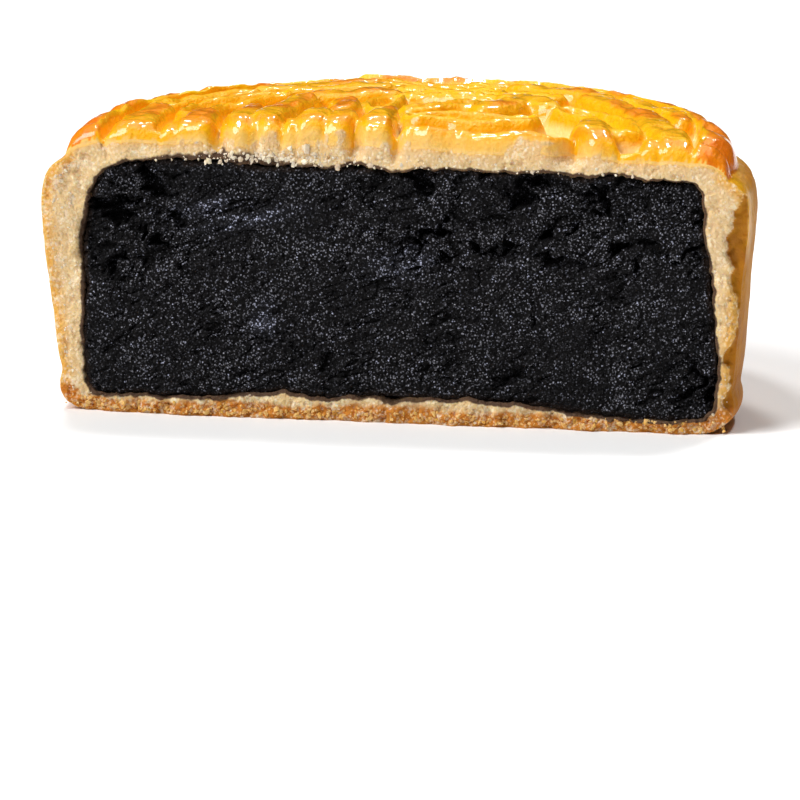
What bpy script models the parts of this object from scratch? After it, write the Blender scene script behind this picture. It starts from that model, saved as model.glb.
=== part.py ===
"""A cut piece of a round baked mooncake, a little more than half of it, standing on its base.

Two solids: the crust, a moulded golden shell, and the filling, a block of black bean paste that
runs through it and shows at the cut. The lengths below are millimetres; MM turns them to metres.

Frame: +Z up, the cut faces -Y, and the origin is the middle of the box's underside.
The whole cake's own axis stands at x = 0, y = AXIS_Y. The pattern's places are measured from it.
"""

import math

import bmesh
import bpy
import numpy as np

MM = 0.001

# Driving sizes
RADIUS = 40.0  # the belly, the widest part of the wall
BELLY_Z = 24.0
TOP_Z = 34.2  # top of the moulding at the axis
CUT_OFF = 4.0  # the knife passes this far in front of the axis
AXIS_Y = (CUT_OFF - RADIUS) / 2
BASE_FLAT_R = 34.6
FIT_GAP = 0.3  # between the paste and the crust

# The moulded top
DOME_DROP = 1.6  # fall of the top from the axis to the edge of the moulding
FIELD_R = 34.0  # the moulding's field, inside the scalloped rim
MOULD_DEPTH = 2.7  # from the petals' tops down to the field's floor
PETAL_TIP = 0.78  # a petal's width at its ends, as a share of its width in the middle
RIM_OUT_R = 37.7
RIM_FOOT_Z = 28.7
SCALLOPS = 30
SCALLOP_DIP = 0.7
SCALLOP_DRAW = 0.5  # how far the notches between scallops draw the rim in
WALL_DRAW = 0.25  # the same on the wall below, which fades out downwards
NOTCH_Z = (28.9, 31.0)  # a notch grows from nothing to full between these heights
WALL_NOTCH_Z = (15.0, 27.0)
FOOT_TOP_Z = 5.0

# The paste
PASTE_R = 36.3
PASTE_X = 0.5  # it lies this far off the cake's axis
PASTE_LOW_Z = 2.0
PASTE_TOP_Z = 27.9
PASTE_CORNER = 2.6

# The knife's cut
ROLLED_BACK = 1.3  # the top edge, dragged back by the knife
ROLL_FOOT_Z = 30.0
CREASE = 0.9  # how far the grooves between petals run back into the cut
CRUMBLED = 1.1  # how far the wall's right end is torn back
CRUMBLED_X = (35.8, 38.6)
WHOLE_Z = (26.0, 28.5)  # above these heights it is less torn

# Mesh steps
TURN_STEPS = 240
RING_STEP = 0.8
PASTE_TURN_STEPS = 72
KNIFE_STEP = 1.0
CRUST_KEPT = 0.26  # share of the triangles that stays, most of them where the surface bends
PASTE_KEPT = 0.55
KNIFE_KEPT = 0.36


def hashed(cells, seed):
    """A fixed pseudo-random number from 0 to 1 for each integer lattice cell, one row a cell."""
    weights = np.array([127.1, 311.7, 74.7])[: cells.shape[-1]]
    return np.mod(np.sin(cells @ weights + seed * 37.719) * 43758.5453, 1.0)


def value_noise(points, cell, seed):
    """Smooth noise from -1 to 1: lattice values a cell apart, blended by a smoothed box."""
    scaled = np.asarray(points, float) / cell
    low = np.floor(scaled)
    part = scaled - low
    part = part * part * (3 - 2 * part)
    total = 0.0
    for corner in np.ndindex(*(2,) * scaled.shape[-1]):
        share = np.prod(np.where(corner, part, 1 - part), axis=-1)
        total = total + share * hashed(low + corner, seed)
    return 2 * total - 1


def smoothstep(low, high, value):
    share = np.clip((value - low) / (high - low), 0, 1)
    return share * share * (3 - 2 * share)


# Petals that follow the rim: radius, start and end in degrees from +X, half width, how far the
# middle is sunk
RIM_PETALS = (
    (30.5, 52, 74, 2.8, 0.0),
    (30.5, 80, 101, 2.8, 0.35),
    (30.5, 107, 130, 2.8, 0.0),
    (30.3, 136, 160, 2.9, 0.35),
    (30.0, 166, 192, 2.9, 0.0),
    (25.0, 57, 70, 2.8, 0.35),
    (25.4, 76, 98, 2.8, 0.4),
    (25.4, 105, 127, 2.8, 0.0),
    (25.0, 134, 170, 2.9, 0.5),
    (20.2, 45, 64, 2.6, 0.0),
    (20.3, 71, 96, 2.7, 0.4),
    (20.3, 104, 126, 2.7, 0.0),
)

# The other petals: start, end, bulge to the left of that line, half width, sunk middle
PETALS = (
    ((-22.4, -8.0), (-23.0, 3.0), 0.0, 3.1, 0.0),
    ((-17.5, -8.0), (-18.0, 7.0), 0.0, 2.1, 0.0),
    ((-13.6, -8.0), (-13.2, 13.5), 1.4, 2.5, 0.0),
    ((-9.7, -8.0), (-9.2, 2.2), 0.0, 2.2, 0.0),
    ((-6.1, -8.0), (-6.6, 2.4), 0.0, 2.1, 0.0),
    ((-1.8, -8.0), (-2.0, 4.4), 0.4, 2.5, 0.0),
    ((2.4, -4.2), (17.8, -4.4), -0.6, 3.2, 0.0),
    ((2.4, 2.4), (12.8, 4.6), 0.6, 3.6, 0.8),
    ((0.2, 8.6), (4.9, 14.9), -1.0, 3.0, 0.5),
    ((-8.0, 6.0), (-8.8, 12.4), -0.6, 2.7, 0.0),
    ((-3.4, 7.8), (-3.6, 15.4), 0.6, 2.6, 0.5),
    ((7.6, 10.0), (10.8, 17.4), -0.8, 2.7, 0.0),
    ((23.2, -6.6), (21.2, 3.2), 0.0, 3.0, 0.0),
    ((26.2, -6.2), (27.6, -6.0), 0.0, 3.5, 0.0),
    ((17.2, 12.4), (25.4, 1.6), 1.4, 3.2, 0.6),
    ((17.8, 21.6), (32.2, -8.0), 2.8, 2.8, 0.0),
    ((22.2, 21.2), (30.4, 11.2), 1.2, 2.3, 0.0),
    ((32.2, -6.0), (34.0, -6.0), 0.0, 3.4, 0.0),
    ((-30.4, -5.4), (-28.2, -5.4), 0.0, 3.9, 0.0),
)


def arc_path(radius, start, end):
    angle = np.radians(np.linspace(start, end, 9))
    return np.stack([radius * np.cos(angle), radius * np.sin(angle)], axis=1)


def bent_path(start, end, bulge):
    """A parabola's arc from start to end, its middle moved sideways by the bulge."""
    share = np.linspace(0, 1, 7)[:, None]
    start, end = np.array(start), np.array(end)
    along = end - start
    left = np.array([-along[1], along[0]]) / np.hypot(*along)
    return start + share * along + 4 * share * (1 - share) * bulge * left


def petal(x, y, path, half_width, sunk):
    """Height from 0 to 1 of a rounded ridge along a path, narrower at its ends."""
    across = np.full(np.broadcast(x, y).shape, 9.0)
    for step, (start, end) in enumerate(zip(path[:-1], path[1:])):
        along = end - start
        share = ((x - start[0]) * along[0] + (y - start[1]) * along[1]) / (along @ along)
        share = np.clip(share, 0, 1)
        away = np.hypot(x - start[0] - share * along[0], y - start[1] - share * along[1])
        swell = np.sin(np.pi * (step + share) / (len(path) - 1))
        across = np.minimum(across, away / (half_width * (PETAL_TIP + (1 - PETAL_TIP) * swell)))
    crown = (1 - np.clip(across, 0, 1) ** 4) ** 0.7
    return crown - sunk * (1 - smoothstep(0.15, 0.65, across))


def moulding(x, y):
    """Height of the moulded pattern over the field's floor, from 0 to 1, about the cake's axis."""
    height = np.zeros(np.broadcast(x, y).shape)
    for radius, start, end, half_width, sunk in RIM_PETALS:
        height = np.maximum(height, petal(x, y, arc_path(radius, start, end), half_width, sunk))
    for start, end, bulge, half_width, sunk in PETALS:
        height = np.maximum(height, petal(x, y, bent_path(start, end, bulge), half_width, sunk))
    return height


def dome(radius):
    """Height of the petals' tops over the base."""
    return TOP_Z - DOME_DROP * (radius / FIELD_R) ** 2


def crust_profile():
    """The turned outline (radius, height), from the top's middle out, down the wall and in."""
    rings = np.linspace(0, FIELD_R, round(FIELD_R / RING_STEP) + 1)
    top = [(r, dome(r)) for r in rings]
    rim = [(35.0, 32.35), (36.0, 31.9), (36.9, 31.0), (37.4, 29.9), (RIM_OUT_R, RIM_FOOT_Z)]
    shoulder = [(38.4, 28.2), (39.3, 27.4), (39.8, 26.2), (RADIUS, BELLY_Z)]
    wall = [(39.85, 21.0), (39.45, 17.0), (39.15, 13.0), (38.75, 9.5), (38.3, 6.5), (38.0, 4.6)]
    foot = [(38.3, 3.1), (38.1, 1.9), (37.3, 0.9), (36.0, 0.25), (BASE_FLAT_R, 0.0), (0.0, 0.0)]
    return top + rim + shoulder + wall + foot


def paste_profile(grow=0.0):
    """The filling's turned outline, moved outwards by grow to make the crust's hollow."""
    corner = PASTE_CORNER + grow
    turn = np.linspace(math.pi / 2, -math.pi / 2, 9)
    radius = PASTE_R - PASTE_CORNER + corner * np.cos(turn)
    middle = np.where(turn > 0, PASTE_TOP_Z - PASTE_CORNER, PASTE_LOW_Z + PASTE_CORNER)
    outline = list(zip(radius, middle + corner * np.sin(turn)))
    return [(0.0, PASTE_TOP_Z + grow), *outline, (0.0, PASTE_LOW_Z - grow)]


def shape_crust(points):
    """Moves the turned body's points: the moulded pattern, the scalloped rim and an uneven wall."""
    x, y, z = points.T.copy()
    radius, angle = np.hypot(x, y), np.arctan2(y, x)
    on_top = z > RIM_FOOT_Z - 0.1
    in_field = on_top & (radius < FIELD_R + 0.01)
    edge = smoothstep(FIELD_R - 1.1, FIELD_R + 0.1, radius)
    sunk = MOULD_DEPTH * (1 - np.maximum(moulding(x, y), edge))
    z = np.where(in_field, z - sunk, z)
    notch = np.abs(np.cos(SCALLOPS * angle / 2)) ** 6
    on_rim = on_top & ~in_field
    z = np.where(on_rim, z - SCALLOP_DIP * notch * smoothstep(*NOTCH_Z, z), z)
    draw_in = np.where(on_rim, SCALLOP_DRAW * notch, WALL_DRAW * notch * smoothstep(*WALL_NOTCH_Z, z))
    side = np.stack([RADIUS * np.cos(angle), RADIUS * np.sin(angle), z], axis=1)
    uneven = 0.35 * value_noise(side, 17.0, 3) + 0.15 * value_noise(side, 6.0, 4)
    reach = smoothstep(20.0, 36.0, radius) * smoothstep(0.1, 4.0, z)
    scale = 1 + reach * (uneven - draw_in) / np.maximum(radius, 1.0)
    z = z + np.where(z > FOOT_TOP_Z, 0.25 * value_noise(points, 9.0, 5), 0.0)
    return np.stack([x * scale, y * scale, z], axis=1)


def place_paste(points):
    """The hollow's points, off the cake's axis."""
    return points + np.array([PASTE_X, 0.0, 0.0])


def shape_paste(points):
    """Low lumps on the block of paste, which only draw it in, so that it fits its hollow."""
    x, y, z = points.T
    lumps = 0.15 * (value_noise(points, 8.0, 11) - 1)
    inwards = 1 + lumps / np.maximum(np.hypot(x, y), 12.0)
    middle = (PASTE_LOW_Z + PASTE_TOP_Z) / 2
    low = middle + (z - middle) * (1 + 0.03 * lumps)
    return place_paste(np.stack([x * inwards, y * inwards, low], axis=1))


# Hollows that the knife tore in the paste: x, height, half width, half height, depth
TORN = (
    (2.5, 19.9, 1.2, 1.4, 1.1),
    (22.6, 24.0, 3.0, 1.3, 0.9),
    (24.4, 15.2, 2.0, 2.0, 0.8),
    (-6.9, 6.8, 0.8, 1.9, 0.9),
    (13.4, 6.1, 1.9, 0.8, 0.9),
    (33.6, 23.6, 1.3, 1.1, 1.0),
    (-34.0, 20.8, 1.4, 1.6, 1.2),
    (-31.6, 26.0, 2.4, 1.0, 0.8),
    (-20.0, 25.8, 3.4, 0.9, 0.7),
)


def knife_relief(x, z):
    """How far the cut lies behind its plane: a dragged, crumbly face, torn back at its right end.

    Above the paste the grooves between the petals run down the face as creases, and the top edge
    is rolled back.
    """
    flat = np.stack([x, z], axis=-1)
    relief = 0.35 * value_noise(flat, 13.0, 21) + 0.22 * value_noise(flat, 4.5, 22)
    relief = relief + 0.16 * value_noise(flat, 2.2, 23)
    for middle_x, middle_z, half_x, half_z, depth in TORN:
        away = ((x - middle_x) / half_x) ** 2 + ((z - middle_z) / half_z) ** 2
        relief = relief + depth * np.exp(-away)
    crumbled = smoothstep(*CRUMBLED_X, x) * (1 - 0.6 * smoothstep(*WHOLE_Z, z))
    relief = relief + crumbled * (CRUMBLED + 0.7 * value_noise(flat, 3.0, 24))
    groove = 1 - moulding(x, np.full(x.shape, -CUT_OFF))
    relief = relief + CREASE * groove * smoothstep(PASTE_TOP_Z, RIM_FOOT_Z + 3.0, z)
    return relief + ROLLED_BACK * smoothstep(ROLL_FOOT_Z, TOP_Z + 1.0, z)


def mesh_object(name, mesh, collection):
    obj = bpy.data.objects.new(name, mesh)
    collection.objects.link(obj)
    return obj


def turned(name, profile, steps, shape, collection):
    """Turns a profile about +Z with a Screw, applies it, and shapes the points with a function."""
    mesh = bpy.data.meshes.new(name + "_profile")
    points = [(r * MM, 0.0, z * MM) for r, z in profile]
    mesh.from_pydata(points, [(i, i + 1) for i in range(len(points) - 1)], [])
    guide = mesh_object(name + "_profile", mesh, collection)
    screw = guide.modifiers.new("turn", "SCREW")
    screw.axis = "Z"
    screw.angle = 2 * math.pi
    screw.steps = screw.render_steps = steps
    screw.use_merge_vertices = True
    screw.merge_threshold = 0.00002
    graph = bpy.context.evaluated_depsgraph_get()
    solid = bpy.data.meshes.new_from_object(guide.evaluated_get(graph))
    bpy.data.objects.remove(guide)
    flat = np.empty(len(solid.vertices) * 3)
    solid.vertices.foreach_get("co", flat)
    points = shape(flat.reshape(-1, 3) / MM)
    points[:, 1] += AXIS_Y
    solid.vertices.foreach_set("co", (points * MM).ravel())
    triangulate(solid)
    solid.name = name
    return mesh_object(name, solid, collection)


def triangulate(mesh):
    body = bmesh.new()
    body.from_mesh(mesh)
    bmesh.ops.triangulate(body, faces=body.faces)
    bmesh.ops.recalc_face_normals(body, faces=body.faces)
    body.to_mesh(mesh)
    body.free()


def knife(collection):
    """The block that takes the front of the cake away, its far face as rough as the cut."""
    width, height, thick = 2 * RADIUS + 8, TOP_Z + 8, 60.0
    body = bmesh.new()
    columns, rows = round(width / KNIFE_STEP), round(height / KNIFE_STEP)
    bmesh.ops.create_grid(body, x_segments=columns, y_segments=rows, size=0.5)
    flat = np.array([v.co for v in body.verts])
    x, z = flat[:, 0] * width, flat[:, 1] * height + TOP_Z / 2
    front_y = AXIS_Y - CUT_OFF
    y = front_y + knife_relief(x, z)
    for vert, place in zip(body.verts, np.stack([x, y, z], axis=1) * MM):
        vert.co = place
    made = bmesh.ops.extrude_face_region(body, geom=body.faces[:])
    for vert in (v for v in made["geom"] if isinstance(v, bmesh.types.BMVert)):
        vert.co.y = (front_y - thick) * MM
    bmesh.ops.triangulate(body, faces=body.faces)
    bmesh.ops.recalc_face_normals(body, faces=body.faces)
    mesh = bpy.data.meshes.new("knife")
    body.to_mesh(mesh)
    body.free()
    return mesh_object("knife", mesh, collection)


def thin_out(obj, kept):
    """Leaves out triangles where the surface is flat or evenly curved, before any cut."""
    thin = obj.modifiers.new("thin_out", "DECIMATE")
    thin.ratio = kept


def take_away(obj, cutter):
    cut = obj.modifiers.new("without_" + cutter.name, "BOOLEAN")
    cut.operation = "DIFFERENCE"
    cut.solver = "EXACT"
    cut.object = cutter


def finish(obj, colour, roughness):
    """The part's plain colour and smooth shading."""
    material = bpy.data.materials.new(obj.name)
    material.use_nodes = True
    shader = material.node_tree.nodes["Principled BSDF"]
    shader.inputs["Base Color"].default_value = (*colour, 1.0)
    shader.inputs["Roughness"].default_value = roughness
    shader.inputs["Metallic"].default_value = 0.0
    obj.data.materials.clear()
    obj.data.materials.append(material)
    obj.data.shade_smooth()
    obj.data.set_sharp_from_angle(angle=math.radians(40))


def main():
    for obj in list(bpy.data.objects):
        bpy.data.objects.remove(obj)
    parts = bpy.data.collections.new("mooncake_half")
    cutters = bpy.data.collections.new("cutters")
    for collection in (parts, cutters):
        bpy.context.scene.collection.children.link(collection)

    crust = turned("crust", crust_profile(), TURN_STEPS, shape_crust, parts)
    filling = turned("filling", paste_profile(), PASTE_TURN_STEPS, shape_paste, parts)
    hollow = turned("hollow", paste_profile(FIT_GAP), PASTE_TURN_STEPS, place_paste, cutters)
    blade = knife(cutters)
    for cutter in (hollow, blade):
        cutter.hide_render = True
        cutter.display_type = "WIRE"

    thin_out(crust, CRUST_KEPT)
    thin_out(filling, PASTE_KEPT)
    thin_out(blade, KNIFE_KEPT)
    take_away(crust, hollow)
    take_away(crust, blade)
    take_away(filling, blade)
    finish(crust, (0.80, 0.42, 0.10), 0.35)
    finish(filling, (0.015, 0.014, 0.016), 0.6)


main()
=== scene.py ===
"""The finished looks of a cut mooncake half: glazed moulded crust, bean paste, crumbs and a stage."""

import math
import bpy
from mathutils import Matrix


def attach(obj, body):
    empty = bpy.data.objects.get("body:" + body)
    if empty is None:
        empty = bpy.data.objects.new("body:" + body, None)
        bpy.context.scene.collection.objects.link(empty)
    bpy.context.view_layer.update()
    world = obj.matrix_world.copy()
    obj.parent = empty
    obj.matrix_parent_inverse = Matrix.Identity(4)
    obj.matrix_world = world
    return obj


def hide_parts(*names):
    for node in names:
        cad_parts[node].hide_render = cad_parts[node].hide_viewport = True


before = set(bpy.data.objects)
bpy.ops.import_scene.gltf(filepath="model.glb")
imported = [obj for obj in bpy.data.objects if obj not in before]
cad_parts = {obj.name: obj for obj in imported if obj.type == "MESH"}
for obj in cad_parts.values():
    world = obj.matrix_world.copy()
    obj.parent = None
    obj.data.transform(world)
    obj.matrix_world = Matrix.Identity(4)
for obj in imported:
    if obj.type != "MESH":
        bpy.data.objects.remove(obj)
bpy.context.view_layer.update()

from types import SimpleNamespace

import bmesh
import bpy
import numpy as np
from bpy.props import FloatProperty, FloatVectorProperty, IntProperty, PointerProperty
from mathutils import Vector

bl_info = {
    "name": "Cut mooncake half",
    "version": (1, 0, 0),
    "blender": (4, 5, 0),
    "location": "View3D > Sidebar > Mooncake",
    "description": "Makes a cut mooncake half with a moulded crust, bean paste and crumbs",
    "category": "Add Mesh",
}

MM = 0.001

# Petals of the moulded pattern that follow the rim, in millimetres and degrees from +X about the
# cake's axis: radius, start, end, half width, how far the middle is sunk
RIM_PETALS = (
    (30.5, 52, 74, 2.8, 0.0),
    (30.5, 80, 101, 2.8, 0.35),
    (30.5, 107, 130, 2.8, 0.0),
    (30.3, 136, 160, 2.9, 0.35),
    (30.0, 166, 192, 2.9, 0.0),
    (25.0, 57, 70, 2.8, 0.35),
    (25.4, 76, 98, 2.8, 0.4),
    (25.4, 105, 127, 2.8, 0.0),
    (25.0, 134, 170, 2.9, 0.5),
    (20.2, 45, 64, 2.6, 0.0),
    (20.3, 71, 96, 2.7, 0.4),
    (20.3, 104, 126, 2.7, 0.0),
)

# The other petals, in millimetres about the cake's axis: start, end, bulge to the left of that
# line, half width, how far the middle is sunk
PETALS = (
    ((-22.4, -8.0), (-23.0, 3.0), 0.0, 3.1, 0.0),
    ((-17.5, -8.0), (-18.0, 7.0), 0.0, 2.1, 0.0),
    ((-13.6, -8.0), (-13.2, 13.5), 1.4, 2.5, 0.0),
    ((-9.7, -8.0), (-9.2, 2.2), 0.0, 2.2, 0.0),
    ((-6.1, -8.0), (-6.6, 2.4), 0.0, 2.1, 0.0),
    ((-1.8, -8.0), (-2.0, 4.4), 0.4, 2.5, 0.0),
    ((2.4, -4.2), (17.8, -4.4), -0.6, 3.2, 0.0),
    ((2.4, 2.4), (12.8, 4.6), 0.6, 3.6, 0.8),
    ((0.2, 8.6), (4.9, 14.9), -1.0, 3.0, 0.5),
    ((-8.0, 6.0), (-8.8, 12.4), -0.6, 2.7, 0.0),
    ((-3.4, 7.8), (-3.6, 15.4), 0.6, 2.6, 0.5),
    ((7.6, 10.0), (10.8, 17.4), -0.8, 2.7, 0.0),
    ((23.2, -6.6), (21.2, 3.2), 0.0, 3.0, 0.0),
    ((26.2, -6.2), (27.6, -6.0), 0.0, 3.5, 0.0),
    ((17.2, 12.4), (25.4, 1.6), 1.4, 3.2, 0.6),
    ((17.8, 21.6), (32.2, -8.0), 2.8, 2.8, 0.0),
    ((22.2, 21.2), (30.4, 11.2), 1.2, 2.3, 0.0),
    ((32.2, -6.0), (34.0, -6.0), 0.0, 3.4, 0.0),
    ((-30.4, -5.4), (-28.2, -5.4), 0.0, 3.9, 0.0),
)

# A petal's width at its ends, as a share of its full width
PETAL_TIP = 0.78

# Deep notches between the lobes at the cut, in millimetres: x, half width, extra depth
NOTCHES = ((-19.3, 0.8, 1.2), (-15.4, 0.6, 0.8), (-4.2, 0.7, 1.3), (0.5, 0.6, 0.8), (19.9, 1.5, 1.8))

# Grooves that are nearly filled at the cut, in millimetres: x and half width
BRIDGES = ((-25.4, 1.5), (-11.7, 1.1), (-7.9, 1.1), (28.8, 1.5))

# Hollows that the knife tore in the paste, in millimetres: x, height, half width, half height, depth
TORN = (
    (2.5, 19.9, 1.2, 1.4, 1.1),
    (22.6, 24.0, 3.0, 1.3, 0.9),
    (24.4, 15.2, 2.0, 2.0, 0.8),
    (-6.9, 6.8, 0.8, 1.9, 0.9),
    (13.4, 6.1, 1.9, 0.8, 0.9),
    (33.6, 23.6, 1.3, 1.1, 1.0),
    (-34.0, 20.8, 1.4, 1.6, 1.2),
    (-31.6, 26.0, 2.4, 1.0, 0.8),
    (-20.0, 25.8, 3.4, 0.9, 0.7),
)

# Cracks in the paste, in millimetres: x and height of each end, half width, depth
CRACKS = (
    (15.9, 15.2, 16.4, 12.4, 0.34, 0.9),
    (-6.9, 7.6, -7.1, 4.6, 0.26, 0.8),
    (1.8, 22.0, 2.4, 19.4, 0.3, 0.7),
    (12.4, 6.2, 14.6, 6.4, 0.28, 0.7),
    (28.2, 20.6, 30.4, 20.9, 0.3, 0.8),
    (22.0, 24.4, 25.4, 23.4, 0.4, 0.9),
)

# Patches of the paste where a bluish sheen is painted into its colour as dense painted glints, in
# millimetres: x, height, half width, half height
PAINTED_SHEENS = (
    (-21.5, 23.4, 3.4, 0.8), (-16.0, 22.4, 4.4, 0.9), (-14.5, 10.8, 1.2, 2.0), (1.0, 18.0, 3.0, 1.6),
)
PAINTED_SHEEN_SLOPE = 0.22

# Places of coarse, broken crumb, in millimetres: x, height, half width, half height
BROKEN_CRUMB = ((-14.5, 28.9, 7.5, 1.3), (25.5, 28.3, 4.0, 1.2))

# Points of the meshes: along the cut and behind it in the moulded field, across the cut crust from
# its edge to the paste, along the foot's cut edge, and up and along the paste's cut face
FIELD_POINTS = (201, 95)
CRUST_POINTS = 25
FOOT_POINTS = 201
PASTE_POINTS = (161, 441)

# Rows behind the cut, in degrees round the paste's own axis, from a line along the cut
HOLLOW_TURNS = (-6.3, 12, 35, 58, 76)
PASTE_TURNS = (-6.3, -2, 12, 35, 58, 76)

# Small far lights that make the glaze sparkle, in degrees: side of the cut's middle, height
SPARKLES = ((152, 60), (206, 64), (-60, 74))

# The point that the camera looks at and the floor's half width, in metres
AIM = (0.0009, -0.022, 0.0026)
FLOOR_HALF = 6.0

# Linear colour of the painted shade deep in the paste's pits, cracks and valleys
PAINTED_PIT_SHADE = (0.0015, 0.0013, 0.0013)


def srgb(red, green, blue):
    """The linear colour of a screen colour whose channels run from 0 to 255."""
    screen = np.array([red, green, blue]) / 255
    linear = np.where(screen <= 0.04045, screen / 12.92, ((screen + 0.055) / 1.055) ** 2.4)
    return tuple(float(channel) for channel in linear)


def length(name, description, millimetres):
    """A length property, with its default given in millimetres."""
    return FloatProperty(
        name=name, description=description, default=millimetres * MM, unit="LENGTH", precision=5
    )


def colour(name, description, red, green, blue):
    """A colour property, with its default given as a screen colour."""
    return FloatVectorProperty(
        name=name, description=description, subtype="COLOR", size=3, min=0.0, max=1.0,
        default=srgb(red, green, blue),
    )


def whole_number(name, description, default, least=0):
    """A whole number's property."""
    return IntProperty(name=name, description=description, default=default, min=least)


def number(name, description, default):
    """A plain number's property."""
    return FloatProperty(name=name, description=description, default=default)


def in_degrees(name, description, degrees):
    """An angle's property, with its default given in degrees."""
    return FloatProperty(
        name=name, description=description, default=math.radians(degrees), subtype="ANGLE"
    )


class MooncakeSizes(bpy.types.PropertyGroup):
    """The cake's own sizes."""

    radius: length("Belly radius", "Widest radius of the wall", 40.0)
    top_z: length("Top", "Height of the petals' tops at the axis", 34.2)
    cut_offset: length("Cut offset", "How far the knife passes in front of the axis", 4.0)
    dome_drop: length("Dome drop", "Fall of the top from the axis to the rim", 1.6)
    field_r: length("Field radius", "Radius of the moulded field inside the rim", 34.0)
    mould_depth: length("Mould depth", "From the petals' tops to the field's floor", 2.7)
    rim_foot_z: length("Rim foot", "Height of the rim's foot above the shoulder", 28.7)
    scallop_dip: length("Scallop dip", "Depth of the notches between the rim's scallops", 0.7)
    base_flat_r: length("Flat base", "Radius of the flat part of the base", 34.6)
    paste_r: length("Paste radius", "Radius of the block of paste", 36.3)
    paste_x: length("Paste shift", "How far the paste lies off the cake's axis", 0.5)
    paste_low_z: length("Paste underside", "Height of the paste's underside", 2.0)
    paste_top_z: length("Paste top", "Height of the paste's top", 27.9)
    paste_corner: length("Paste corner", "Radius of the paste's rounded edges", 2.6)
    roll_drop: length("Rolled edge", "How far the moulded top bends down at the cut", 2.8)
    roll_deep: length("Roll depth", "How far behind the cut the top begins to bend down", 3.2)
    crease: length("Crease", "How far the grooves run back into the cut", 0.9)
    torn_wall: length("Torn wall", "How far the wall's right end is torn back", 1.3)
    scallops: whole_number("Scallops", "Scallops round a whole rim", 30, 8)


class CrustFinish(bpy.types.PropertyGroup):
    """Colours of the crust."""

    glaze: colour("Glaze", "Golden glaze on the slopes", 252, 180, 8)
    pale_glaze: colour("Thin glaze", "Paler glaze low on the lobes' faces", 243, 196, 98)
    tan: colour("Browned tops", "Deeper orange on the ridges' tops", 244, 142, 6)
    burnt: colour("Burnt rim", "Red-brown of the rim's highest bosses", 214, 92, 8)
    groove: colour("Grooves", "Pale floor of the moulded grooves", 248, 208, 130)
    wall: colour("Wall", "Outer wall below the shoulder", 190, 124, 14)
    wall_brown: colour("Browned wall", "Darker patches of the wall", 168, 104, 24)
    crumb: colour("Crumb", "Cream crumb at the cut", 229, 196, 144)
    crumb_light: colour("Light grains", "Palest grains of the crumb", 250, 234, 204)
    crumb_grey: colour("Translucent crumb", "Moister, greyer crumb", 208, 184, 156)
    crumb_gold: colour("Golden crumb", "Crumb next to the skin", 228, 168, 66)
    base: colour("Baked base", "Skin of the base and the foot", 200, 124, 44)
    smear: colour("Smear", "Paste smeared on the crumb beside it", 88, 66, 50)


class PasteFinish(bpy.types.PropertyGroup):
    """Colours of the bean paste."""

    black: colour("Paste", "Near-black of the paste", 15, 14, 15)
    # Grain is the painted glint colour: the bluish grey that the grains' tops take as if catching the
    # light
    grain: colour("Grain", "Bluish grey of the grains' tops", 158, 158, 168)
    # The painted highlight colour: the few brightest glints on the grains
    painted_highlight: colour("Bright grain", "The few brightest grains", 206, 211, 240)
    edge: colour("Edge", "Brown where the paste meets the crust", 36, 26, 20)


class CrumbSettings(bpy.types.PropertyGroup):
    """Loose crumbs along the cut."""

    seed: whole_number("Seed", "Start of the random draws", 7)
    crust_count: whole_number("Crust crumbs", "Most crumbs on the cut crust", 1500)
    edge_count: whole_number("Edge crumbs", "Crumbs where crust meets paste", 60)
    chunk_count: whole_number("Chunks", "Pale chunks over the paste's top left", 120)
    foot_count: whole_number("Base crumbs", "Crumbs on the base's cut edge", 500)
    paste_count: whole_number("Paste crumbs", "Grains on the paste", 900)
    largest: length("Largest crumb", "Half width of the largest crumbs", 0.3)
    smallest: length("Smallest crumb", "Half width of the smallest crumbs", 0.07)


class StageSettings(bpy.types.PropertyGroup):
    """Floor, lights and camera."""

    azimuth: in_degrees("Azimuth", "Camera's turn to the right of the cut", 11.0)
    elevation: in_degrees("Elevation", "Camera's height as an angle", 11.6)
    distance: length("Distance", "From the camera to the cut", 1000.0)
    lens: number("Lens", "Focal length in millimetres", 405.0)
    floor: colour("Floor", "Pale floor", 252, 252, 252)
    backdrop: number("Backdrop", "Brightness of the surroundings", 0.5)
    key: number("Key light", "Power of the main soft light", 2.55)
    overhead: number("Overhead", "Power of the light from above", 0.3)
    sparkle: number("Sparkle", "Power of each small light", 0.9)


def in_millimetres(group):
    """A property group's values, its lengths turned from metres to millimetres."""
    values = {}
    for name, rna in group.bl_rna.properties.items():
        if name in ("rna_type", "name"):
            continue
        value = getattr(group, name)
        values[name] = value / MM if getattr(rna, "unit", "NONE") == "LENGTH" else value
    return SimpleNamespace(**values)


def axis_y(s):
    """How far the cake's axis lies from the frame's origin along Y."""
    return (s.cut_offset - s.radius) / 2


def as_points(*coordinates):
    """Arrays of coordinates as one array of points."""
    return np.stack(coordinates, axis=-1)


def smoothstep(low, high, value):
    """0 below low, 1 above high, and a smooth cubic between."""
    share = np.clip((value - low) / (high - low), 0, 1)
    return share * share * (3 - 2 * share)


def hashed(cells, seed):
    """A fixed pseudo-random number from 0 to 1 for each integer lattice cell, one row a cell."""
    weights = np.array([127.1, 311.7, 74.7])[: cells.shape[-1]]
    return np.mod(np.sin(cells @ weights + seed * 37.719) * 43758.5453, 1.0)


def value_noise(points, cell, seed):
    """Smooth noise from -1 to 1: lattice values a cell apart, blended by a smoothed box."""
    scaled = np.asarray(points, float) / cell
    low = np.floor(scaled)
    part = scaled - low
    part = part * part * (3 - 2 * part)
    total = 0.0
    for corner in np.ndindex(*(2,) * scaled.shape[-1]):
        share = np.prod(np.where(corner, part, 1 - part), axis=-1)
        total = total + share * hashed(low + corner, seed)
    return 2 * total - 1


def layered_noise(points, cell, seed, layers=3):
    """Sum of value noises, each half as wide and about half as high as the one before."""
    total = 0.0
    for layer in range(layers):
        total = total + 0.55 ** layer * value_noise(points, cell / 2 ** layer, seed + 3 * layer)
    return total


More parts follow.
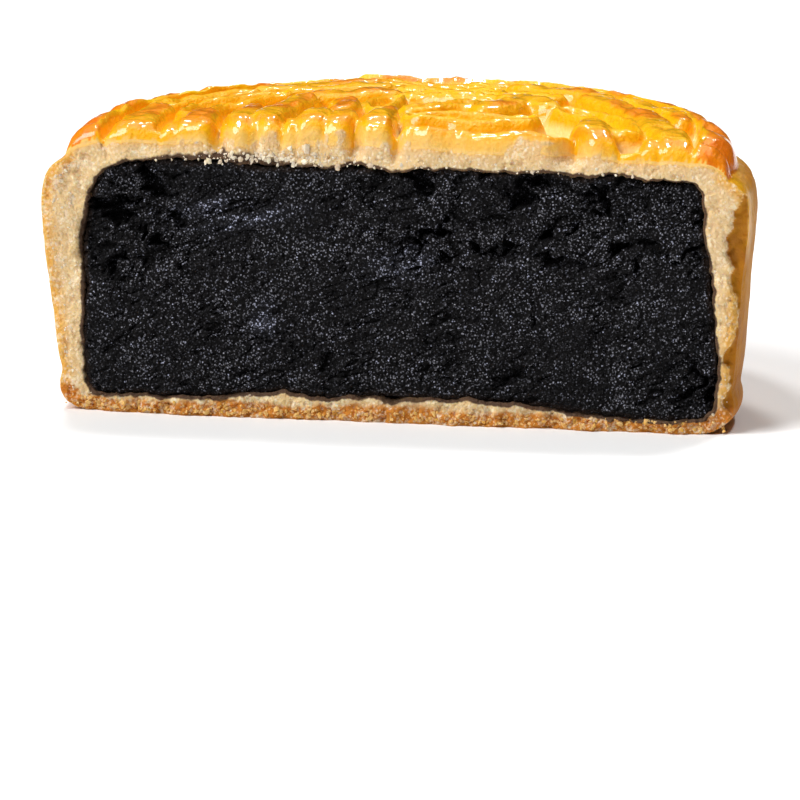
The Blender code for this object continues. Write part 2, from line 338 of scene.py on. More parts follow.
def grains(points, cell, seed):
    """Distance in cells to the nearest of points that are scattered one to a cell."""
    scaled = np.asarray(points, float) / cell
    low = np.floor(scaled)
    nearest = np.full(scaled.shape[:-1], 9.0)
    for step in np.ndindex(*(3,) * scaled.shape[-1]):
        home = low + np.array(step) - 1
        spot = np.stack([hashed(home, seed + axis) for axis in range(scaled.shape[-1])], axis=-1)
        nearest = np.minimum(nearest, np.linalg.norm(home + spot - scaled, axis=-1))
    return nearest


def mound(x, z, middle_x, middle_z, half_x, half_z):
    """1 at a middle, falling off as exp(-a^2 - b^2) at a and b half widths from it."""
    return np.exp(-((x - middle_x) / half_x) ** 2 - ((z - middle_z) / half_z) ** 2)


def arc_path(radius, start, end):
    """Points along an arc about the axis."""
    angle = np.radians(np.linspace(start, end, 9))
    return np.stack([radius * np.cos(angle), radius * np.sin(angle)], axis=1)


def bent_path(start, end, bulge):
    """A parabola's arc from start to end, its middle moved sideways by the bulge."""
    share = np.linspace(0, 1, 7)[:, None]
    start, end = np.array(start), np.array(end)
    along = end - start
    left = np.array([-along[1], along[0]]) / np.hypot(*along)
    return start + share * along + 4 * share * (1 - share) * bulge * left


def off_path(x, y, path, half_width):
    """Distance from a petal's path in its own half widths, which shrink to PETAL_TIP at its ends."""
    across = np.full(np.broadcast(x, y).shape, 9.0)
    for step, (start, end) in enumerate(zip(path[:-1], path[1:])):
        along = end - start
        share = ((x - start[0]) * along[0] + (y - start[1]) * along[1]) / (along @ along)
        share = np.clip(share, 0, 1)
        away = np.hypot(x - start[0] - share * along[0], y - start[1] - share * along[1])
        swell = np.sin(np.pi * (step + share) / (len(path) - 1))
        across = np.minimum(across, away / (half_width * (PETAL_TIP + (1 - PETAL_TIP) * swell)))
    return across


def petals():
    """Each petal's path, half width and sunk middle."""
    for radius, start, end, half_width, sunk in RIM_PETALS:
        yield arc_path(radius, start, end), half_width, sunk
    for start, end, bulge, half_width, sunk in PETALS:
        yield bent_path(start, end, bulge), half_width, sunk


def bridged(x):
    """How far a groove is filled near the cut, from 0 to 1: exp(-d^4) at d half widths away."""
    return np.max([np.exp(-((x - middle) / half) ** 4) for middle, half in BRIDGES], axis=0)


def wavered(x, y):
    """Both coordinates moved by noise, so that the petals' edges are uneven."""
    flat = as_points(x, y)
    return x + 0.45 * layered_noise(flat, 4.5, 62, 2), y + 0.45 * layered_noise(flat, 4.5, 65, 2)


def moulding(x, y):
    """Height of the moulded pattern over the field's floor, from 0 to 1: the highest petal's, each
    (1 - a^4)^0.7 at a half widths from its path, with its middle sunk. Bridged grooves are filled."""
    height = 0.84 * bridged(x) * smoothstep(1.0, -2.0, y)
    x, y = wavered(x, y)
    for path, half_width, sunk in petals():
        across = off_path(x, y, path, half_width)
        crown = (1 - np.clip(across, 0, 1) ** 4) ** 0.7
        height = np.maximum(height, crown - sunk * (1 - smoothstep(0.15, 0.65, across)))
    return height


def lobe_front(x, s):
    """How far each lobe's front face stands out between the creases, from 0 to 1: 1 - a^4."""
    front = 0.9 * bridged(x)
    bent_x, bent_y = wavered(x, np.full(x.shape, -s.cut_offset))
    for path, half_width, _ in petals():
        across = off_path(bent_x, bent_y, path, half_width)
        front = np.maximum(front, 1 - np.clip(across, 0, 1) ** 4)
    return np.where(np.abs(x) > s.field_r - 1.0, 1.0, front)


def outer_profile(s):
    """The wall's outline (radius, height) from the field's edge over the rim and down to the base."""
    return np.array([
        (s.field_r, s.top_z - s.dome_drop), (35.0, 32.35), (36.0, 31.9), (36.9, 31.0), (37.4, 29.9),
        (37.7, s.rim_foot_z), (38.4, 28.2), (39.3, 27.4), (39.8, 26.2), (s.radius, 24.0),
        (39.85, 21.0), (39.45, 17.0), (39.15, 13.0), (38.75, 9.5), (38.3, 6.5), (38.0, 4.6),
        (38.3, 3.1), (38.1, 1.9), (37.3, 0.9), (36.0, 0.25), (s.base_flat_r, 0.0),
    ])


def smooth_line(points, spacing):
    """A Catmull-Rom curve through the points, cut at steps whose length spacing gives by height."""
    padded = np.vstack([2 * points[0] - points[1], points, 2 * points[-1] - points[-2]])
    share = np.linspace(0, 1, 40, endpoint=False)[:, None]
    pieces = []
    for a, b, c, d in zip(padded, padded[1:], padded[2:], padded[3:]):
        pieces.append(0.5 * (2 * b + (c - a) * share + (2 * a - 5 * b + 4 * c - d) * share ** 2
                             + (3 * b - a - 3 * c + d) * share ** 3))
    line = np.vstack(pieces + [points[-1:]])
    steps = np.linalg.norm(np.diff(line, axis=0), axis=1)
    crowded = steps / spacing((line[1:, 1] + line[:-1, 1]) / 2)
    so_far = np.concatenate([[0], np.cumsum(crowded)])
    wanted = np.linspace(0, so_far[-1], math.ceil(so_far[-1]) + 1)
    return np.stack([np.interp(wanted, so_far, line[:, axis]) for axis in (0, 1)], axis=1)


def torn_edge(z):
    """Where the crumb ends in teeth at the right, as x for a height: a little further in low down,
    plus noise of two sizes."""
    teeth = 0.45 * value_noise(z[..., None], 3.1, 25) + 0.45 * layered_noise(z[..., None], 1.7, 26, 3)
    return 37.9 - 0.5 * smoothstep(14.0, 8.0, z) + teeth


def torn_off(x, z):
    """Where the crumb is torn off the wall's right end, from 0 to 1: right of the torn edge, and
    between the foot and an uneven upper end."""
    top = z + 1.2 * value_noise(x[..., None], 1.1, 27) - 0.8 * (x - 38.0)
    upright = smoothstep(1.5, 3.0, z) * smoothstep(26.0, 24.8, top)
    return smoothstep(-0.3, 0.5, x - torn_edge(z)) * upright


def coarse_cut(x, z, s):
    """How far the cut lies behind its plane: waves of three sizes, torn hollows, a torn right wall,
    and creases and notches between the lobes of the moulding."""
    flat = as_points(x, z)
    relief = 0.35 * value_noise(flat, 13.0, 21) + 0.22 * value_noise(flat, 4.5, 22)
    relief = relief + 0.16 * value_noise(flat, 2.2, 23)
    for *place, depth in TORN:
        relief = relief + depth * mound(x, z, *place)
    relief = relief + s.torn_wall * torn_off(x, z)
    crease = s.crease * (1 - lobe_front(x, s))
    for middle_x, half_x, depth in NOTCHES:
        crease = crease + depth * np.exp(-((x - middle_x) / half_x) ** 2)
    return relief + crease * smoothstep(28.6, 30.6, z)


def coarse_patch(x, z):
    """Where the crumb is coarse and broken, from 0 to 1: at the places of broken crumb, along the
    foot, and in small patches all round."""
    places = sum(mound(x, z, *place) for place in BROKEN_CRUMB)
    small = smoothstep(0.25, 0.8, value_noise(as_points(x, z), 3.6, 51))
    return np.clip(places + smoothstep(2.8, 1.2, z) + small, 0, 1)


def crumb_relief(x, z):
    """Granular relief of the cut crust: grains of two sizes, layered noise and pits, with deeper
    grains and noise in coarse patches."""
    flat = as_points(x, z)
    bent = flat + 0.4 * as_points(value_noise(flat, 1.1, 41), value_noise(flat, 1.1, 42))
    coarse = coarse_patch(x, z)
    near, small = grains(bent, 1.15, 43), grains(flat, 0.5, 46)
    relief = (0.02 + 0.42 * coarse) * near + (0.11 + 0.2 * coarse) * small
    relief = relief + (0.06 + 0.28 * coarse) * layered_noise(flat, 1.7, 53, 4)
    pits = smoothstep(0.55, 0.9, layered_noise(flat, 0.9, 57))
    return relief + 0.22 * pits - 0.1 - 0.2 * coarse


def skin_points(x, y, z, s):
    """The skin over the undisplaced dome and wall, in the cake's own frame.

    Field points drop by the mould's depth times one minus the moulding, and the pads carry lumps of
    noise. Rim points sink and draw in at the scallops' notches. The wall swells and shrinks along
    its radius by noise. Also gives the moulding's height and how brown each point is.
    """
    radius, angle = np.hypot(x, y), np.arctan2(y, x)
    on_top = z > s.rim_foot_z - 0.1
    in_field = on_top & (radius < s.field_r + 0.01)
    edge = smoothstep(s.field_r - 1.1, s.field_r + 0.1, radius)
    height = np.maximum(moulding(x, y), edge)
    flat = as_points(x, y)
    lumps = 0.18 * layered_noise(flat, 3.2, 61) + 0.11 * layered_noise(flat, 1.3, 66)
    low = z - s.mould_depth * (1 - height)
    z = np.where(in_field, low, z) + np.where(on_top, lumps * smoothstep(0.2, 0.9, height), 0.0)
    notch = np.abs(np.cos(s.scallops * angle / 2)) ** 6
    on_rim = on_top & ~in_field
    z = np.where(on_rim, z - s.scallop_dip * notch * smoothstep(28.9, 31.0, z), z)
    draw_in = np.where(on_rim, 0.5 * notch, 0.25 * notch * smoothstep(15.0, 27.0, z))
    side = as_points(s.radius * np.cos(angle), s.radius * np.sin(angle), z)
    uneven = 0.35 * value_noise(side, 17.0, 3) + 0.15 * value_noise(side, 6.0, 4)
    uneven = uneven + 0.05 * layered_noise(side, 1.6, 64)
    reach = smoothstep(20.0, 36.0, radius) * smoothstep(0.1, 4.0, z)
    scale = 1 + reach * (uneven - draw_in) / np.maximum(radius, 1.0)
    points = as_points(x, y, z)
    z = z + np.where(z > 5.0, 0.25 * value_noise(points, 9.0, 5), 0.0)
    rim = smoothstep(s.field_r - 0.6, s.field_r + 1.6, radius)
    patch = value_noise(flat, 5.5, 67)
    browned = smoothstep(0.78, 1.0, height) * smoothstep(-0.5, 0.9, patch) * 0.65
    at_cut = smoothstep(7.0, -3.0, y)
    browned = np.maximum(browned, rim * (0.9 + 0.3 * patch + 0.5 * at_cut) - 0.35 * notch * rim)
    return x * scale, y * scale, z, np.where(on_top, height, 0.0), np.where(on_top, browned, 0.0)


def meet_cut(x, y, z, s):
    """Bends the skin to the knife's cut: shifted back by the cut's relief, which fades behind it.

    Above the rim's foot it is rolled over like a quarter ellipse, the drop growing with height.
    Returns the points and how far round the roll each one lies, from 0 to 1.
    """
    behind = np.maximum(y + s.cut_offset, 0)
    inside = np.clip(1 - behind / s.roll_deep, 0, 1)
    tall = np.clip((z - s.rim_foot_z + 0.3) / (s.top_z - s.rim_foot_z), 0, 1)
    round_off = 1 - np.sqrt(np.clip(1 - inside ** 2, 0, 1))
    z = z - s.roll_drop * round_off * tall
    x_side = np.clip(x, -s.radius, s.radius)
    shift = coarse_cut(x_side, z, s) * (1 - smoothstep(0, 3.5, behind))
    rough = crumb_relief(x_side, z) * (1 - smoothstep(0, 0.7, behind)) * smoothstep(29.0, 27.0, z)
    return x, y + shift + 0.6 * rough, z, inside * tall


class Shell:
    """Gathers patches of one closed surface. Patches that share an edge repeat its points."""

    def __init__(self, names):
        self.names = names
        self.points, self.values, self.faces = [], [], []
        self.count = 0

    def add_points(self, points, values):
        """Keeps points with their values, and gives their indices in the same layout."""
        points = np.asarray(points, float)
        shape = points.shape[:-1]
        self.points.append(points.reshape(-1, 3))
        whole = [np.broadcast_to(values.get(name, 0.0), shape).ravel() for name in self.names]
        self.values.append(np.stack(whole, axis=1))
        index = self.count + np.arange(np.prod(shape)).reshape(shape)
        self.count += index.size
        return index

    def add_grid(self, points, **values):
        """Quads between each row of points and the next."""
        index = self.add_points(points, values)
        quads = [index[:-1, :-1], index[1:, :-1], index[1:, 1:], index[:-1, 1:]]
        self.faces.append(np.stack([corner.ravel() for corner in quads], axis=1))
        return index

    def add_doubling(self, coarse, fine, values):
        """Triangles between a closed row of points and a row with twice as many, to which the
        values belong."""
        outer = self.add_points(coarse, {name: value[0::2] for name, value in values.items()})
        inner = self.add_points(fine, values)
        first, middle, last = inner[0::2], inner[1::2], np.roll(inner[0::2], -1)
        after = np.roll(outer, -1)
        for corners in ((outer, first, middle), (outer, middle, after), (after, middle, last)):
            self.faces.append(np.stack([*corners, corners[-1]], axis=1))

    def add_fan(self, ring, centre, **values):
        """Triangles from a closed ring of points to its centre."""
        index = self.add_points(np.vstack([ring, centre]), values)
        rim = index[:-1]
        hub = np.full(len(rim), index[-1])
        self.faces.append(np.stack([rim, np.roll(rim, -1), hub, hub], axis=1))

    def add_behind(self, ring, turns, s, **values):
        """Carries a closed ring back round the paste's own axis, narrower with its radius, and closes
        it at the back."""
        back = s.paste_r * np.sin(np.radians(turns))[:, None]
        narrow = np.sqrt(s.paste_r ** 2 - back ** 2) / math.sqrt(s.paste_r ** 2 - s.cut_offset ** 2)
        x = s.paste_x + (ring[:, 0] - s.paste_x) * narrow
        rows = as_points(x, np.broadcast_to(back, x.shape), np.broadcast_to(ring[:, 2], x.shape))
        rows[0] = ring
        self.add_grid(rows, **values)
        middle = np.array([[s.paste_x, back[-1, 0], (s.paste_low_z + s.paste_top_z) / 2]])
        self.add_fan(rows[-1, :-1], middle, **values)

    def make(self, name, material, y_shift):
        """One mesh from all patches, in metres: doubles merged, faces turned outwards."""
        points = np.vstack(self.points) + np.array([0.0, y_shift, 0.0])
        quads = np.vstack(self.faces)
        flat = quads[:, 2] == quads[:, 3]
        mesh = bpy.data.meshes.new(name)
        polygons = quads[~flat].tolist() + quads[flat][:, :3].tolist()
        mesh.from_pydata((points * MM).tolist(), [], polygons)
        values = np.vstack(self.values)
        for column, title in enumerate(self.names):
            layer = mesh.attributes.new(title, "FLOAT", "POINT")
            layer.data.foreach_set("value", values[:, column].astype(np.float32))
        body = bmesh.new()
        body.from_mesh(mesh)
        bmesh.ops.remove_doubles(body, verts=body.verts, dist=1e-7)
        bmesh.ops.dissolve_degenerate(body, edges=body.edges, dist=1e-8)
        bmesh.ops.recalc_face_normals(body, faces=body.faces)
        body.to_mesh(mesh)
        body.free()
        mesh.shade_smooth()
        return piece(name, mesh, material)


def piece(name, mesh, material):
    """An object at the origin for a mesh, with its material."""
    mesh.materials.append(material)
    obj = bpy.data.objects.new(name, mesh)
    bpy.context.scene.collection.objects.link(obj)
    return obj


def field_grid(s, across, deep):
    """Points of the half disc inside the rim: a Coons patch between the cut's line and three arcs.

    Rows run from the cut backwards and lie closer together near it.
    """
    start = -math.asin(s.cut_offset / s.field_r)
    corner = math.radians(50)
    u = np.linspace(0, 1, across)[None, :]
    v = np.linspace(0, 1, deep)[:, None]
    v = v * (0.5 + 0.5 * v)

    def on_arc(angle):
        return as_points(s.field_r * np.cos(angle), s.field_r * np.sin(angle))

    chord = s.field_r * math.cos(start)
    front = as_points(chord * (2 * u - 1), np.full(u.shape, -s.cut_offset))
    back = on_arc(math.pi - corner + u * (2 * corner - math.pi))
    right = on_arc(start + v * (corner - start))
    left = on_arc(math.pi - start + v * (start - corner))
    u, v = u[..., None], v[..., None]
    blend = (1 - v) * front + v * back + (1 - u) * left + u * right
    corners = (1 - u) * (1 - v) * left[:1] + u * (1 - v) * right[:1]
    return blend - corners - (1 - u) * v * left[-1:] - u * v * right[-1:]


def paste_outline_near(x, z, s, grow):
    """The point nearest to (x, z) on the paste's rounded oblong at the cut, grown by a gap."""
    half = math.sqrt((s.paste_r + grow) ** 2 - s.cut_offset ** 2)
    corner = s.paste_corner + grow
    low, high = s.paste_low_z - grow, s.paste_top_z + grow
    core_x = np.clip(x - s.paste_x, -half + corner, half - corner)
    core_z = np.clip(z, low + corner, high - corner)
    away_x, away_z = x - s.paste_x - core_x, z - core_z
    far = np.maximum(np.hypot(away_x, away_z), 1e-6)
    return s.paste_x + core_x + corner * away_x / far, core_z + corner * away_z / far


def settle(x, z):
    """Moves the paste's neat outline to its uneven one, and what is inside it along.

    The top left corner and the upper right side are pressed in, the top is raised, the underside is
    arched, and all of it wavers. The moves fade to nothing in the paste's middle.
    """
    flat = as_points(x, z)
    corner = mound(x, z, -36.0, 28.5, 4.5, 4.5)
    right = smoothstep(20.0, 36.0, x) * smoothstep(26.0, 4.0, z)
    low = smoothstep(9.0, 2.0, z)
    arch = 0.9 * smoothstep(-30.0, -14.0, x) * smoothstep(21.0, 12.0, x)
    arch = arch - 0.5 * smoothstep(18.0, 28.0, x)
    left, high = smoothstep(-26.0, -35.0, x), smoothstep(20.0, 28.0, z)
    edge = np.maximum(smoothstep(26.0, 35.0, np.abs(x)), smoothstep(6.0, 12.0, np.abs(z - 15.0)))
    waver = 0.26 * layered_noise(flat, 4.6, 31)
    waver_z = 0.3 * layered_noise(flat, 4.2, 35)
    high_right = smoothstep(22.0, 35.0, x) * smoothstep(8.0, 24.0, z)
    x = x + 1.7 * corner - 0.2 * right + 0.6 * left - 1.9 * high_right + edge * waver
    return x, z - 0.6 * corner + low * arch + 0.6 * high - 0.3 * high_right + edge * waver_z


def add_field(shell, s):
    """Adds the moulded field: the flat grid raised to the dome, moulded, and bent to the cut.

    Gives the flat grid, the field's points, and the values that its front row passes on to the cut,
    each with the value that the rest of the cut's border has.
    """
    flat = field_grid(s, *FIELD_POINTS)
    x, y = flat[..., 0], flat[..., 1]
    dome = s.top_z - s.dome_drop * (np.hypot(x, y) / s.field_r) ** 2
    x, y, z, height, brown = skin_points(x, y, dome, s)
    x, y, z, roll = meet_cut(x, y, z, s)
    field = as_points(x, y, z)
    torn_low = 1.2 * smoothstep(0.7, 1.0, roll) - 0.9
    bare = smoothstep(0.0, 0.8, layered_noise(as_points(x, z), 1.9, 111) + torn_low)
    front_rows = (("height", height[0], 0.9), ("brown", brown[0], 0.0), ("bare", bare[0], 0.0))
    shell.add_grid(field, skin=1.0, height=height, brown=brown, roll=roll, bare=bare)
    return flat, field, front_rows


def add_wall(shell, flat, field, s):
    """Adds the rim and the wall: the outer profile turned about the axis from the cut's right end
    to its left one, its top row joined to the field's edge."""
    ring = np.concatenate([flat[:, -1], flat[-1, -2::-1], flat[-2::-1, 0]])
    angle = np.unwrap(np.arctan2(ring[:, 1], ring[:, 0]))
    share = (angle - angle[0]) / (angle[-1] - angle[0])
    profile = smooth_line(
        outer_profile(s), lambda z: 0.3 + 0.14 * smoothstep(30, 25, z) * smoothstep(2, 6, z)
    )
    radius, level = profile[:, :1], profile[:, 1:]
    start = -np.arcsin(s.cut_offset / radius)
    turn = start + (math.pi - 2 * start) * share[None, :]
    x, y = radius * np.cos(turn), radius * np.sin(turn)
    z = np.broadcast_to(level, x.shape)
    x, y, z, _, brown = skin_points(x, y, z, s)
    x, y, z, roll = meet_cut(x, y, z, s)
    wall = as_points(x, y, z)
    wall[0] = np.concatenate([field[:, -1], field[-1, -2::-1], field[-2::-1, 0]])
    golden = 0.65 * smoothstep(3.0, -3.0, y) * (x > 0) * smoothstep(18.5, 22.5, level)
    low = (1 - smoothstep(27.6, 30.2, level)) * (1 - golden)
    shell.add_grid(wall, skin=1.0, height=1 - low, brown=brown, roll=roll, low=low,
                   foot=np.broadcast_to(smoothstep(5.0, 1.0, level), x.shape))
    return wall


def add_base(shell, wall, s):
    """Adds the flat base: rings drawn in towards its centre from the wall's foot and from the cut's
    lower edge. Gives that edge."""
    foot_left, foot_right = wall[-1, -1], wall[-1, 0]
    share = np.linspace(0, 1, FOOT_POINTS)[:, None]
    front = foot_left + share * (foot_right - foot_left)
    front[:, 1] = -s.cut_offset + coarse_cut(front[:, 0], front[:, 2], s)
    front[:, 1] += 0.6 * crumb_relief(front[:, 0], front[:, 2])
    front[0], front[-1] = foot_left, foot_right
    ring = np.vstack([wall[-1], front[1:-1]])
    centre = np.array([0.0, 12.0, 0.0])
    inwards = np.array([1.0, 0.97, 0.7, 0.35])[:, None, None]
    rows = centre + inwards * (ring - centre)
    rows = np.concatenate([rows, rows[:, :1]], axis=1)
    shell.add_grid(rows, skin=1.0, low=1.0, foot=1.0)
    shell.add_fan(rows[-1, :-1], centre[None, :], skin=1.0, low=1.0, foot=1.0)
    return front


def add_cut(shell, border, front_rows, s):
    """Adds the crust's cut face: rows between its border and the paste's uneven outline, laid back
    by the cut's relief and the crumb's. Gives its points."""
    outline = np.empty((2 * len(border), 3))
    outline[0::2] = border
    outline[1::2] = (border + np.roll(border, -1, axis=0)) / 2
    near_x, near_z = paste_outline_near(outline[:, 0], outline[:, 2], s, 0.0)
    gap_x, gap_z = paste_outline_near(outline[:, 0], outline[:, 2], s, 1.0)
    flat = as_points(near_x, near_z)
    ragged = 0.4 * smoothstep(0.3, 0.9, value_noise(flat, 4.0, 74))
    ragged = 0.13 * layered_noise(flat, 0.8, 71) + ragged
    inner_x, inner_z = settle(near_x + ragged * (gap_x - near_x), near_z + ragged * (gap_z - near_z))
    share = np.linspace(0, 1, CRUST_POINTS)[1:, None]
    x = outline[:, 0] + share * (inner_x - outline[:, 0])
    z = outline[:, 2] + share * (inner_z - outline[:, 2])
    wide = np.hypot(inner_x - outline[:, 0], inner_z - outline[:, 2])
    depth = share * wide
    on_roll = smoothstep(28.9, 29.8, outline[:, 2])
    rough = 1 - (1 - smoothstep(0.0, 1.6, depth)) * on_roll
    relief = coarse_cut(x, z, s) + crumb_relief(x, z) * rough * smoothstep(0.0, 0.4, depth + 0.2)
    gap = 0.1 + 0.55 * smoothstep(0.2, 0.6, value_noise(flat, 3.0, 77))
    y = -s.cut_offset + relief + gap * smoothstep(0.85, 1.0, share)
    y = y + (outline[:, 1] - y[0]) * (1 - smoothstep(0.0, 0.8, depth))
    cut = as_points(x, y, z)
    uneven = 1.3 + 0.8 * layered_noise(as_points(x, z), 1.5, 113)
    glazed = on_roll * (1 - smoothstep(0.0, 1.4, depth * np.maximum(uneven, 0.4)))
    smeared = 0.8 + 1.5 * mound(x, 0.0, -17.0, 0.0, 7.0, 1.0) * (z > 15)
    smear = 1 - smoothstep(0.0, smeared, wide - depth)
    bottom = np.broadcast_to(smoothstep(3.4, 2.2, outline[:, 2]), x.shape)
    cut = np.concatenate([cut, cut[:, :1]], axis=1)
    torn = smoothstep(0.3, 0.7, torn_off(x, z)) * (x > 30)
    skin = np.maximum(torn, on_roll * (1 - smoothstep(0.0, 0.5, depth)))
    closed = {"roll": glazed, "depth": depth, "smear": smear, "foot": bottom, "skin": skin}
    closed["low"] = 1.0 * (x > 30) * (z < 27)
    for name, front_row, elsewhere in front_rows:
        rest = np.full(len(border) - len(front_row), elsewhere)
        edge_row = np.repeat(np.concatenate([front_row[::-1], rest]), 2)
        closed[name] = np.broadcast_to(edge_row, x.shape)
    closed["bare"] = np.maximum(closed["bare"], on_roll * smoothstep(0.2, 1.0, depth))
    closed = {name: np.concatenate([value, value[:, :1]], axis=1) for name, value in closed.items()}
    edge_values = {name: value[0, :-1] for name, value in closed.items()}
    shell.add_doubling(border, cut[0, :-1], edge_values)
    shell.add_grid(cut, **closed)
    return cut


def make_crust(s, material):
    """The crust's closed surface: moulded field, rim and wall, base, cut face and inner hollow."""
    shell = Shell(("skin", "height", "brown", "roll", "depth", "smear", "low", "foot", "bare"))
    flat, field, front_rows = add_field(shell, s)
    wall = add_wall(shell, flat, field, s)
    front = add_base(shell, wall, s)
    border = np.vstack([field[0, ::-1], wall[1:, -1], front[1:], wall[-2:0:-1, 0]])
    cut = add_cut(shell, border, front_rows, s)
    shell.add_behind(cut[-1], HOLLOW_TURNS, s, smear=1.0)
    return shell.make("glazed_crust", material, axis_y(s))


def crack_depth(x, z):
    """Depth of the cracks: each a valley exp(-d^4) at d half widths from its line."""
    total = np.zeros(x.shape)
    for x0, z0, x1, z1, half_width, depth in CRACKS:
        along = np.array([x1 - x0, z1 - z0])
        share = np.clip(((x - x0) * along[0] + (z - z0) * along[1]) / (along @ along), 0, 1)
        away = np.hypot(x - x0 - share * along[0], z - z0 - share * along[1])
        total = np.maximum(total, depth * np.exp(-(away / half_width) ** 4))
    return total


def paste_relief(x, z):
    """Relief of the cut paste: lumps with pits between them where it broke, a ledge, cracks, drag
    lines and grains. Also how deep in a pit, crack or valley each point lies, which the paste's
    colour darkens as painted shade, how broken the paste is there, and how much of a drag line's
    streak lies there."""
    flat = as_points(x, z)
    bent = flat + 0.9 * as_points(layered_noise(flat, 2.8, 81), layered_noise(flat, 2.8, 82))
    wander = 2.2 * value_noise(flat, 6.0, 84)
    upper_right = smoothstep(18.4, 20.6, z + wander) * smoothstep(-6.0, 4.0, x + wander)
    upper_left = smoothstep(-21.0, -26.0, x + wander) * smoothstep(13.0, 18.0, z)
    low_right = smoothstep(29.0, 33.5, x + wander) * smoothstep(11.0, 6.0, z)
    broken = np.clip(upper_right + upper_left + low_right, 0, 1)
    broken = 0.1 + 0.9 * broken
    near = grains(bent, 2.3, 83)
    lumps = 0.8 * near ** 2 * broken
    holes = layered_noise(bent, 2.0, 92)
    pit = smoothstep(0.36, 0.8, holes) * broken ** 1.5
    small = grains(bent, 1.05, 86)
    turned_x, turned_z = 0.93 * x + 0.37 * z, 0.93 * z - 0.37 * x
    drag = as_points(turned_x, 3.4 * turned_z)
    lines = 1 - np.abs(layered_noise(drag, 4.5, 88))
    torn = smoothstep(-0.6, 0.2, value_noise(flat, 5.0, 99) + 0.5 * broken)
    rift = smoothstep(0.86, 0.97, lines) * torn
    ledge_z = 21.0 - 0.04 * (x - 31.0) ** 2 + 0.5 * value_noise(flat, 2.0, 94)
    ledge = 0.5 * smoothstep(-0.15, 0.2, z - ledge_z) * smoothstep(25.0, 27.0, x)
    cracks = crack_depth(*np.moveaxis(bent, -1, 0)) * smoothstep(-0.7, 0.4, value_noise(flat, 1.0, 97))
    grain = grains(flat, 0.46, 91)
    fine = value_noise(flat, 0.3, 96)
    rough = 0.16 * layered_noise(flat, 1.6, 98, 4) * (0.5 + 0.8 * broken)
    relief = 1.9 * pit + lumps + 0.2 * small * (0.25 + 0.75 * broken) + 0.35 * rift + ledge + cracks
    relief = relief + rough + 0.3 * grain + 0.08 * fine - 0.25
    streak = smoothstep(0.45, 0.95, 1 - np.abs(layered_noise(drag, 2.6, 89)))
    valley = smoothstep(0.5, 0.85, near) * smoothstep(0.3, 0.9, broken)
    valley = np.maximum(valley, rift)
    return relief, np.clip(pit + 0.8 * cracks + 0.7 * valley, 0, 1), broken, streak


def make_filling(s, material):
    """The paste's closed surface: a rough cut face, rounded at its outline, and its sides and back."""
    shell = Shell(("crevice", "rim", "broken", "sheen", "streak"))
    half = math.sqrt(s.paste_r ** 2 - s.cut_offset ** 2)
    middle_z = (s.paste_low_z + s.paste_top_z) / 2
    half_z = (s.paste_top_z - s.paste_low_z) / 2
    v = np.linspace(-1, 1, PASTE_POINTS[0])[:, None]
    u = np.linspace(-1, 1, PASTE_POINTS[1])[None, :]
    z = middle_z + v * half_z
    over = np.maximum(np.abs(v * half_z) - (half_z - s.paste_corner), 0)
    width = half - s.paste_corner + np.sqrt(np.maximum(s.paste_corner ** 2 - over ** 2, 0))
    x = s.paste_x + u * width
    inside = np.minimum(width * (1 - np.abs(u)), half_z * (1 - np.abs(v)) + 0 * u)
    x, z = settle(x, np.broadcast_to(z, x.shape))
    relief, crevice, broken, streak = paste_relief(x, z)
    edge = 1 - smoothstep(0.0, 0.9, inside)
    y = -s.cut_offset + coarse_cut(x, z, s) + relief + 0.3 * edge ** 2
    face = as_points(x, y, z)
    # Painted sheen: where bluish glints are painted thickest, along the drag lines' streaks
    sheen = np.zeros(x.shape)
    for middle_x, middle, half_x, half_high in PAINTED_SHEENS:
        level = z - middle - PAINTED_SHEEN_SLOPE * (x - middle_x)
        sheen = np.maximum(sheen, mound(x, level, middle_x, 0.0, half_x, half_high))
    shell.add_grid(face, crevice=crevice, rim=1 - smoothstep(0.0, 1.2, inside), broken=broken,
                   sheen=sheen * (0.2 + 0.8 * streak), streak=streak)

    ring = np.concatenate([face[0], face[1:, -1], face[-1, -2::-1], face[-2::-1, 0]])
    shell.add_behind(ring, PASTE_TURNS, s, rim=1.0)
    return shell.make("bean_paste", material, axis_y(s))


def scatter(name, places, sizes, tones, material, y_shift, seed):
    """Joined crumbs: icosahedra whose twelve corners are moved in or out by up to two fifths,
    squashed and turned at random, one at each place."""
    body = bmesh.new()
    bmesh.ops.create_icosphere(body, subdivisions=1, radius=1.0)
    corners = np.array([vert.co for vert in body.verts])
    faces = np.array([[vert.index for vert in face.verts] for face in body.faces])
    body.free()
    draw = np.random.default_rng(seed)
    count = len(places)
    shape = corners[None] * (1 + 0.4 * draw.uniform(-1, 1, (count, len(corners), 1)))
    shape = shape * draw.uniform(0.5, 1.3, (count, 1, 3))
    turn = draw.normal(size=(count, 4))
    w, i, j, k = (turn / np.linalg.norm(turn, axis=1, keepdims=True)).T
    rotate = np.stack([
        np.stack([1 - 2 * (j * j + k * k), 2 * (i * j - k * w), 2 * (i * k + j * w)], axis=1),
        np.stack([2 * (i * j + k * w), 1 - 2 * (i * i + k * k), 2 * (j * k - i * w)], axis=1),
        np.stack([2 * (i * k - j * w), 2 * (j * k + i * w), 1 - 2 * (i * i + j * j)], axis=1),
    ], axis=1)
    shape = np.einsum("nab,nvb->nva", rotate, shape) * sizes[:, None, None]
    points = (shape + places[:, None, :]).reshape(-1, 3) + np.array([0.0, y_shift, 0.0])
    index = (faces[None] + len(corners) * np.arange(count)[:, None, None]).reshape(-1, 3)
    mesh = bpy.data.meshes.new(name)
    mesh.from_pydata((points * MM).tolist(), [], index.tolist())
    layer = mesh.attributes.new("tone", "FLOAT", "POINT")
    layer.data.foreach_set("value", np.repeat(tones, len(corners)).astype(np.float32))
    return piece(name, mesh, material)


